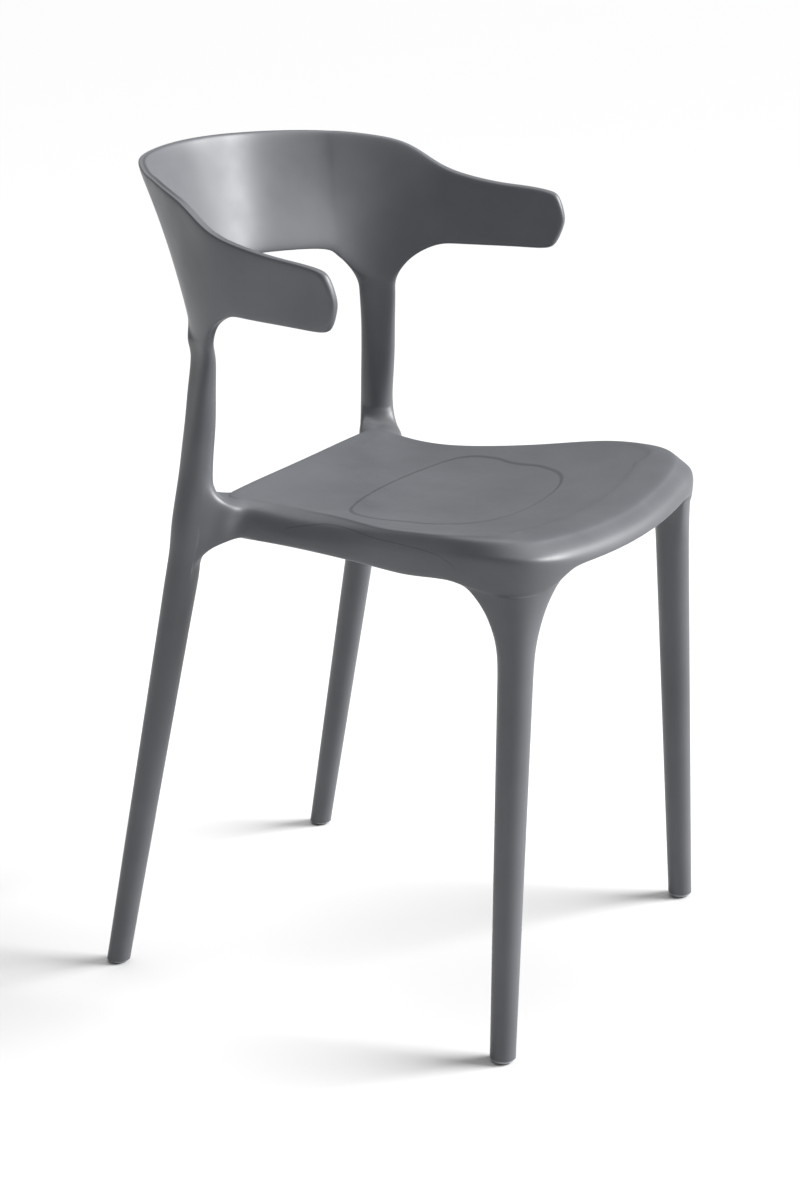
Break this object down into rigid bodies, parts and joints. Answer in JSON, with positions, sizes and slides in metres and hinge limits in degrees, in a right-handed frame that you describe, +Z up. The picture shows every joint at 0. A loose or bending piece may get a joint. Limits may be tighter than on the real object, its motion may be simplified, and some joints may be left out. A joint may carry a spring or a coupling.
{
  "type": "moulded plastic shell chair",
  "caption": "Dining chair moulded in one piece, with a dished seat, round splayed legs, a curved back band whose ends form short arms, and push-in foot glides.",
  "frame": {"origin": "on the floor, at the middle of the chair's outline seen from above", "axes": "+Z up; -Y is the way the sitter faces; +X towards the sitter's left; X = 0 is the mirror plane"},
  "size_m": [0.4534, 0.4816, 0.7454],
  "materials": {
    "shell": "satin moulded polypropylene, mid grey",
    "glide": "plain moulded polyethylene, light grey",
    "sole": "matt thermoplastic rubber, grey"
  },
  "bodies": {
    "root": {"moulded_shell": "shell", "glide_front_left": "glide", "glide_front_right": "glide", "glide_rear_left": "glide", "glide_rear_right": "glide", "sole_front_left": "sole", "sole_front_right": "sole", "sole_rear_left": "sole", "sole_rear_right": "sole"}
  },
  "joints": []
}
